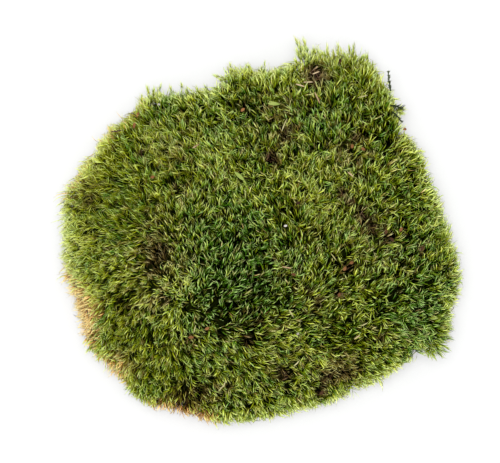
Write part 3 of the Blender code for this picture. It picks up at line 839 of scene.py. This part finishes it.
def new_piece(name, points, faces):
    """An object of this name from points in millimetres and a list of face arrays of equal length."""
    mesh = bpy.data.meshes.new(name)
    corners = np.concatenate([f.ravel() for f in faces])
    sizes = np.concatenate([np.full(len(f), f.shape[1]) for f in faces])
    mesh.vertices.add(len(points))
    mesh.vertices.foreach_set("co", (points * MM).astype(np.float32).ravel())
    mesh.loops.add(len(corners))
    mesh.loops.foreach_set("vertex_index", corners.astype(np.int32))
    mesh.polygons.add(len(sizes))
    mesh.polygons.foreach_set("loop_start", np.append(0, np.cumsum(sizes)[:-1]).astype(np.int32))
    mesh.polygons.foreach_set("use_smooth", np.full(len(sizes), True))
    mesh.update(calc_edges=True)
    piece = added(name, mesh)
    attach(piece, "root")
    return piece


def give_numbers(piece, numbers):
    """Stores each array as a point attribute of its name."""
    for name, values in numbers.items():
        attribute = piece.data.attributes.new(name, "FLOAT", "POINT")
        attribute.data.foreach_set("value", values.astype(np.float32))


# %% The leaves' map
RINGS = ("crown", "inner", "middle", "outer", "shoulder", "side")
# Where a leaf's eight points lie in its square: the foot below, the tip at the top
LEAF_MAP = np.array((
    (0.5, 0.1), (0.2, 0.38), (0.8, 0.38), (0.5, 0.34), (0.25, 0.66), (0.75, 0.66), (0.5, 0.62), (0.5, 0.9),
))


def squares_of(leaves):
    """The lower left corner and the size of each leaf's square of the UV map, in rows from below."""
    columns = math.ceil(math.sqrt(leaves))
    leaf = np.arange(leaves)
    return np.stack((leaf % columns, leaf // columns), -1)[:, None], 1 / columns


def map_points(piece, spots):
    """A UV map that gives every corner of a face its point's spot."""
    mesh = piece.data
    vertex = np.empty(len(mesh.loops), np.int32)
    mesh.loops.foreach_get("vertex_index", vertex)
    mesh.uv_layers.new(name="OFBake").uv.foreach_set("vector", spots[vertex].astype(np.float32).ravel())


print("a leaf's square is 1 /", math.ceil(math.sqrt(len(points) / len(RINGS))), "of the map wide")


# %% The six rings of leaves
def piece_of_leaves(name, chosen):
    """One mesh of the chosen leaves: first the upper ones with eight points each, then the lower ones with
    five, each point with its leaf's numbers and its place on the map."""
    upper, below = np.flatnonzero(chosen & ~lower), np.flatnonzero(chosen & lower)
    leaf = np.concatenate((np.repeat(upper, 8), np.repeat(below, 5)))
    cloud = np.concatenate((points[upper].reshape(-1, 3), points[below][:, LOWER_POINTS].reshape(-1, 3)))
    first_upper = 8 * np.arange(len(upper))[:, None, None]
    first_below = 8 * len(upper) + 5 * np.arange(len(below))[:, None, None]
    faces = [(first_upper + face).reshape(-1, face.shape[1]) for face in UPPER_FACES]
    faces += [(first_below + face).reshape(-1, face.shape[1]) for face in LOWER_FACES]
    piece = new_piece(name, cloud, faces)
    along = np.concatenate((np.tile(ALONG, len(upper)), np.tile(ALONG[LOWER_POINTS], len(below))))
    give_numbers(piece, {"along": along, **{key: values[leaf] for key, values in numbers.items()}})
    corner, size = squares_of(len(upper) + len(below))
    spots = (corner[: len(upper)] + LEAF_MAP, corner[len(upper) :] + LEAF_MAP[LOWER_POINTS])
    map_points(piece, size * np.concatenate([s.reshape(-1, 2) for s in spots]))
    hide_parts("moss_cushion")
    print(name, len(upper) + len(below), "leaves,", 12 * len(upper) + 6 * len(below), "triangles")
    return piece


root = shoots["root"][shoot][:, :2] - CROWN
outward = np.linalg.norm(root, axis=1) / top_length(np.arctan2(root[:, 1], root[:, 0]))
limits = np.quantile(outward, np.linspace(0, 1, len(RINGS) + 1))
limits[-1] += 1
ring_pieces = [
    piece_of_leaves(f"moss_leaves_{ring}", (outward >= low) & (outward < high))
    for ring, low, high in zip(RINGS, limits, limits[1:])
]

# %% [markdown]
# ## The matted bed
#
# Between the shoots we look down on stems, dead leaves and crumbs of soil, all in shade. Modelling those
# would be lost on anyone, so the bed is one closed surface a little inside the skin, roughened with waves.
# Underneath it is cut flat: a pale brown mat of old stems, which rests on the table.

# %% The bed
BED_DEPTH = 8.0  # below the skin on top
SIDE_DEPTH = 4.0  # and down the side
BED_STEPS = (64, 190)  # rings and spokes
BASE_RINGS = 14
LEVEL = 0.2  # how high the edge of the cut lies


def bed_points():
    """Rings from the crown to the foot and back in under the base, then the two poles. The upper rings
    are the skin, moved in along its normal and roughened with two waves. They are moved by SIDE_DEPTH where
    the skin is upright, by BED_DEPTH where it is level, and by less close to the foot."""
    rings, spokes = BED_STEPS
    turn = np.arange(spokes) * TAU / spokes
    whole = top_length(turn) + SIDE_LENGTH
    share = (np.arange(rings) + 1) / rings
    sheet = towards(turn)[None] * (share[:, None] * whole[None])[..., None]
    upper = skin(sheet)
    axes = skin_axes(sheet)[0]
    x, y = upper[..., 0], upper[..., 1]
    rough = 1.3 * waves(x, y, 7, 21) + 1.2 * waves(x + upper[..., 2], y, 4, 22)
    depth = np.where(axes[..., 2] > 0, SIDE_DEPTH + (BED_DEPTH - SIDE_DEPTH) * axes[..., 2], SIDE_DEPTH)
    near_foot = np.clip(upper[..., 2] / 8, 0, 1)
    upper = upper - axes * ((depth + rough) * (0.35 + 0.65 * near_foot))[..., None]
    upper[..., 2] = np.maximum(upper[..., 2], LEVEL)
    upper[-1, :, 2] = LEVEL
    inner = 1 - (np.arange(BASE_RINGS) + 1) / (BASE_RINGS + 1)
    foot = upper[-1, :, :2]
    under = CROWN + (foot[None] - CROWN) * inner[:, None, None]
    depth = 0.15 + 0.35 * (1 + waves(under[..., 0], under[..., 1], 6, 23)) * (inner[:, None] < 0.97)
    under = np.concatenate((under, np.clip(depth, 0.05, 1.2)[..., None]), -1)
    crown = skin(np.array(((1e-3, 0.0),)))[0] - (0, 0, BED_DEPTH)
    return np.concatenate((upper, under)), crown, np.append(CROWN, 0.3)


def close_rings(grid, first, last):
    """Points and faces of a closed surface: quads between neighbouring rings, a fan at each pole."""
    rings, spokes = grid.shape[:2]
    index = np.arange(rings * spokes).reshape(rings, spokes)
    beside = np.roll(index, -1, axis=1)
    quads = np.stack((index[:-1], index[1:], beside[1:], beside[:-1]), -1).reshape(-1, 4)
    top, bottom = rings * spokes, rings * spokes + 1
    fan = np.stack((np.full(spokes, top), index[0], beside[0]), -1)
    base = np.stack((np.full(spokes, bottom), beside[-1], index[-1]), -1)
    cloud = np.concatenate((grid.reshape(-1, 3), first[None], last[None]))
    return cloud, [quads, np.concatenate((fan, base))]


cloud, faces = close_rings(*bed_points())
bed = new_piece("moss_bed", cloud, faces)
give_numbers(bed, {"fringe": fringe_at(cloud)})
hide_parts("moss_cushion")
print("bed", len(bed.data.polygons), "faces")

# %% [markdown]
# ## Finishes as formulas
#
# A material is a graph of nodes, but most of it is arithmetic. A small class wraps a socket, so that an
# expression such as `0.4 + 0.6 * along` adds its own Math nodes. Everything else goes through one method
# that takes a node's type, its settings and the values or links of its sockets. Written out by hand the
# graphs below would be ten times as long, and their formulas hard to see.

# %% Shader arithmetic
class Wire:
    """A number or colour in a material's graph. Arithmetic on it adds Math nodes."""

    def __init__(self, finish, socket):
        self.finish, self.socket = finish, socket

    def maths(self, operation, *values, clamp=False):
        """A Math node's result for one or two values, kept within 0 to 1 if clamp is true."""
        settings = {"operation": operation, "use_clamp": clamp}
        return self.finish.node("ShaderNodeMath", settings, dict(enumerate(values)))

    def __add__(self, other):
        return self.maths("ADD", self, other)

    def __sub__(self, other):
        return self.maths("SUBTRACT", self, other)

    def __rsub__(self, other):
        return self.maths("SUBTRACT", other, self)

    def __mul__(self, other):
        return self.maths("MULTIPLY", self, other)

    def __truediv__(self, other):
        return self.maths("DIVIDE", self, other)

    __radd__, __rmul__ = __add__, __mul__

    def least(self, other):
        """The smaller of the two numbers."""
        return self.maths("MINIMUM", self, other)

    def above(self, low, high):
        """0 below low, 1 above high, and even between them."""
        return self.maths("MULTIPLY", (self - low) / (high - low), 1.0, clamp=True)


# %% A finish
class Finish:
    """A material made around one Principled shader."""

    def __init__(self, name, roughness, specular):
        self.material = bpy.data.materials.new(name)
        self.material.use_nodes = True
        self.tree = self.material.node_tree
        self.shader = self.tree.nodes["Principled BSDF"]
        self.shader.inputs["Roughness"].default_value = roughness
        self.shader.inputs["Specular IOR Level"].default_value = specular

    def node(self, kind, settings=None, values=None, output=0):
        """Adds a node, sets its settings first, then its sockets by value or by link."""
        made = self.tree.nodes.new(kind)
        for key, value in (settings or {}).items():
            setattr(made, key, value)
        for key, value in (values or {}).items():
            self.plug(made.inputs[key], value)
        return Wire(self, made.outputs[output])

    def plug(self, socket, value):
        """Links a wire to the socket or sets its value. A colour of three numbers becomes opaque."""
        if isinstance(value, Wire):
            self.tree.links.new(value.socket, socket)
        elif isinstance(value, tuple) and socket.type == "RGBA" and len(value) == 3:
            socket.default_value = (*value, 1)
        else:
            socket.default_value = value

    def number(self, name):
        """A point attribute of the piece."""
        return self.node("ShaderNodeAttribute", {"attribute_name": name}, output=2)

    def place(self):
        """Where a point lies in the piece's own frame, in metres."""
        return self.node("ShaderNodeTexCoord", output=3)

    def noise(self, size, detail):
        """Noise of 0 to 1 whose lumps are about size metres across."""
        values = {"Vector": self.place(), "Scale": 1 / size, "Detail": detail}
        return self.node("ShaderNodeTexNoise", None, values)

    def mix(self, share, first, second, blend="MIX"):
        """A colour between two, or first changed by second in another blend."""
        settings = {"data_type": "RGBA", "blend_type": blend}
        return self.node("ShaderNodeMix", settings, {0: share, 6: first, 7: second}, output=2)

    def lighten(self, colour, amount):
        """The colour times a number that varies."""
        grey = self.node("ShaderNodeCombineColor", None, {0: amount, 1: amount, 2: amount})
        return self.mix(1.0, colour, grey, "MULTIPLY")

    def bump(self, height, depth):
        """A normal from heights of 0 to 1 that stand depth metres tall, at 0.6 of its full effect."""
        values = {"Height": height, "Distance": depth, "Strength": 0.6}
        return self.node("ShaderNodeBump", None, values)

    def set(self, **sockets):
        """Plugs values into the shader, base_color into Base Color, and returns the finished material."""
        for name, value in sockets.items():
            self.plug(self.shader.inputs[name.replace("_", " ").title()], value)
        return self.material


# %% [markdown]
# ## The leaf's finish
#
# The leaf's green runs from a cool bottle green at the crown to a warm yellow-green at the edges. With age
# it turns olive, then orange-brown. Low on the leaf it is darker, a painted shade, and its lit tip is paler,
# partly the thin, dry tip's own paleness and partly a painted sheen. At the rim a paler painted light stands
# for light shining through the free leaves. One image per leaf could show this, or a colour ramp along it. We
# mix a few colours by the five numbers on the points instead, which keeps every leaf different, and fine
# noise breaks the colour up within a leaf.

# %% Leaf finish
# Low on a leaf, where little light gets in
SHADE_GREEN = (0.10, 0.36, 0.0)
SHADE_OLIVE = (0.32, 0.46, 0.0)
SHADE_BROWN = (0.32, 0.22, 0.07)
# Higher up, by tint and age
DEAD_BROWN = (0.16, 0.075, 0.05)
DEEP_GREEN = (0.095, 0.27, 0.012)
WARM_GREEN = (0.47, 0.53, 0.010)
OLIVE = (0.28, 0.19, 0.045)
ORANGE = (0.82, 0.37, 0.09)
# Painted sheen on lit tips, partly their own dry paleness, and painted rim light
PALE_SHEEN = (0.82, 0.90, 0.44)
RIM_LIGHT_COLOUR = (0.92, 0.94, 0.62)


def leaf_finish():
    """From painted shade to green by the height on the leaf, from green to olive and orange by age, then
    paler
    where lightness times height is large: a painted sheen, partly the dry tips' own paleness, and painted
    light at the rim. The whole is dimmed by lightness, height and noise, which paints shade low on the leaf."""
    finish = Finish("moss_leaf", roughness=0.7, specular=0.0)
    along, light = finish.number("along"), finish.number("light")
    tint, age, dead = finish.number("tint"), finish.number("age"), finish.number("dead")
    flecks = finish.noise(0.0022, 3.0)
    green = finish.mix((tint + 0.3 * flecks - 0.15).above(0.0, 1.0), DEEP_GREEN, WARM_GREEN)
    dull = finish.mix(age.above(0.1, 0.6), green, OLIVE)
    dull = finish.mix(dead, dull, DEAD_BROWN)
    colour = finish.mix(age.above(0.55, 1.0), dull, ORANGE)
    lit = light * along
    # Painted sheen on lit leaves, partly the dry tips' own paleness, then painted rim light
    colour = finish.mix(0.48 * lit.above(0.32, 0.95) * (1 - 0.6 * dead), colour, PALE_SHEEN)
    colour = finish.mix(0.55 * lit.above(0.9, 1.4) * (1 - 0.6 * age.above(0.6, 0.75)), colour, RIM_LIGHT_COLOUR)
    # Painted shade: darker low on the leaf, and the tip a little darker than the lit bend
    amount = light.least(1.08) * (0.04 + 0.96 * along.above(0.08, 0.5))
    amount = amount * (1 - 0.2 * along.above(0.75, 1.0)) * (0.7 + 0.6 * flecks)
    shade = finish.mix(tint.above(0.1, 0.8), SHADE_GREEN, SHADE_OLIVE)
    shade = finish.mix(age.above(0.15, 0.45), shade, SHADE_BROWN)
    shade = finish.mix(dead, shade, DEAD_BROWN)
    colour = finish.mix(amount.above(0.0, 0.25), shade, colour)
    return finish.set(base_color=finish.lighten(colour, amount))


LEAF = leaf_finish()
for piece in ring_pieces:
    piece.data.materials.append(LEAF)
print("the leaf's finish has", len(LEAF.node_tree.nodes), "nodes")

# %% [markdown]
# ## The bed's finish
#
# Deep between the shoots the bed is nearly black-green, a painted shade for the shade that falls there.
# Towards the foot and underneath it is the brown of old stems and root hairs. Two materials would meet in a
# hard line, so one finish does both, and the height of the point tells them apart, within the outlines of a
# noise.

# %% Bed finish
# Painted shade: the bed between the shoots is near black, its foot brown and straw
BED_SHADE = (0.006, 0.009, 0.0005)
BED_BROWN = (0.16, 0.085, 0.035)
BED_STRAW = (0.34, 0.22, 0.10)


def bed_finish():
    """Brown where the point is under 12 mm high and the wide noise is large, near black above as painted
    shade, orange by the fringe. The fine noise picks the brown's tone and raises the fibres."""
    finish = Finish("moss_bed", roughness=0.9, specular=0.02)
    height = finish.node("ShaderNodeSeparateXYZ", None, {0: finish.place()}, output=2)
    fibres = finish.noise(0.0016, 4.0)
    clumps = finish.noise(0.009, 3.0)
    brown = finish.mix(fibres.above(0.35, 0.7), BED_BROWN, BED_STRAW)
    foot = (1 - height.above(0.001, 0.012)) * clumps.above(0.2, 0.6)
    colour = finish.mix(foot, BED_SHADE, brown)
    colour = finish.mix(0.7 * finish.number("fringe"), colour, ORANGE)
    return finish.set(base_color=colour, normal=finish.bump(fibres, 0.001))


bed.data.materials.append(bed_finish())
print("the bed's finish has", len(bed.active_material.node_tree.nodes), "nodes")

# %% [markdown]
# ## The litter's finishes
#
# Each kind of litter is one colour that varies along it and from bit to bit. Every bit could have its own
# material, but one for each kind will do: a noise wider than the bits shifts the colour between two shades
# from one to the next, and a fine one draws the grain.

# %% Litter finishes
# Its two shades and its roughness
LITTER_SHADES = {
    "needle": ((0.22, 0.145, 0.07), (0.42, 0.33, 0.20), 0.6),
    "straw": ((0.20, 0.19, 0.06), (0.34, 0.31, 0.16), 0.6),
    "red_scale": ((0.095, 0.038, 0.013), (0.18, 0.085, 0.030), 0.6),
    "brown_scale": ((0.025, 0.013, 0.007), (0.09, 0.040, 0.016), 0.7),
    "wood_fleck": ((0.24, 0.22, 0.17), (0.38, 0.36, 0.31), 0.75),
    "small_leaf": ((0.13, 0.19, 0.03), (0.20, 0.24, 0.06), 0.45),
    "bare_twig": ((0.035, 0.02, 0.014), (0.10, 0.065, 0.045), 0.85),
    "leafy_twig": ((0.014, 0.02, 0.008), (0.05, 0.065, 0.022), 0.7),
}


def litter_finish(kind, shade, other, roughness):
    """A mix of two shades by a wide noise, times 0.65 to 1.35 by a fine one, which is also its relief."""
    finish = Finish(kind, roughness=roughness, specular=0.04)
    from_bit_to_bit = finish.noise(0.02, 1.0).above(0.35, 0.65)
    grain = finish.noise(0.0007, 3.0)
    colour = finish.mix(from_bit_to_bit, shade, other)
    colour = finish.lighten(colour, 0.65 + 0.7 * grain)
    return finish.set(base_color=colour, normal=finish.bump(grain, 0.0002))


for kind, shades in LITTER_SHADES.items():
    material = litter_finish(kind, *shades)
    for name in LITTER:
        if name.startswith(kind):
            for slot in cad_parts[name].material_slots:
                slot.material = material
print(len(LITTER_SHADES), "litter finishes on", len(LITTER), "bits")

# %% [markdown]
# ## The table, the light and the camera
#
# The patch lies on a white table under soft light, and we look straight down on it. The photograph has
# hardly a shadow on the white. A brighter lamp would do that and bleach the moss too, so the table glows a
# little by itself and stays white up to the leaves.

# %% Stage
# Lengths are in metres from here on
TABLE_SIZE = 6.0
TABLE_GREY = 0.36
TABLE_GLOW = 0.3
KEY_PLACE = (-0.12, 0.08, 1.7)
KEY_SIZE = 1.2
KEY_POWER = 32
SKY = 1.2
CAMERA_HEIGHT = 1.25
OUTLINE_HEIGHT = 0.02  # where the outline is measured
PHOTO_SIZE = (500, 463)  # pixels


def white_table():
    """A square under the moss, much wider than the view, part grey paint and part glow."""
    half = TABLE_SIZE / 2
    corners = [(-half, -half, 0), (half, -half, 0), (half, half, 0), (-half, half, 0)]
    mesh = bpy.data.meshes.new("table")
    mesh.from_pydata(corners, [], [(0, 1, 2, 3)])
    finish = Finish("white_table", roughness=0.9, specular=0.1)
    mesh.materials.append(finish.set(base_color=(TABLE_GREY, TABLE_GREY, TABLE_GREY)))
    finish.shader.inputs["Emission Color"].default_value = (1, 1, 1, 1)
    finish.shader.inputs["Emission Strength"].default_value = TABLE_GLOW
    table = added("table", mesh)
    table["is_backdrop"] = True


def soft_light(name, place, size, power):
    """A round lamp of this width that faces the origin."""
    light = bpy.data.lights.new(name, "AREA")
    light.shape, light.size, light.energy = "DISK", size, power
    lamp = added(name, light)
    lamp.location = place
    lamp.rotation_euler = (-Vector(place)).to_track_quat("-Z", "Y").to_euler()


def even_sky():
    """The same nearly white light from everywhere."""
    world = bpy.data.worlds.new("sky")
    world.use_nodes = True
    world.node_tree.nodes["Background"].inputs["Color"].default_value = (0.99, 0.995, 1, 1)
    world.node_tree.nodes["Background"].inputs["Strength"].default_value = SKY
    bpy.context.scene.world = world


def camera_above():
    """A camera over the photograph's middle. Its focal length is the sensor's width times the distance to
    the outline, divided by the width seen there."""
    lens = bpy.data.cameras.new("camera")
    seen = PHOTO_SIZE[0] * PIXEL * MM
    lens.lens = lens.sensor_width * (CAMERA_HEIGHT - OUTLINE_HEIGHT) / seen
    middle = on_moss(PHOTO_SIZE[0] / 2, PHOTO_SIZE[1] / 2) * MM
    camera = added("camera", lens)
    camera.location = (*middle, CAMERA_HEIGHT)
    bpy.context.scene.camera = camera
    return lens.lens


white_table()
soft_light("key", KEY_PLACE, KEY_SIZE, KEY_POWER)
even_sky()
bpy.context.scene.view_settings.view_transform = "Standard"
print("lens", round(camera_above(), 1), "mm")

# %% [markdown]
# ## Keeping to size
#
# Last, the finished moss is measured against the solid it stands for. Single leaves reach a few
# millimetres past it, as they should. Anything more would mean that the moss has outgrown its solid.

# %% Sizes
VISUAL_BOX = [list(corner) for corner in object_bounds()]
growth = [[round((v - c) / MM, 1) for v, c in zip(*pair)] for pair in zip(VISUAL_BOX, CAD_BOX)]
print("visual box against the solid's, mm:", growth)
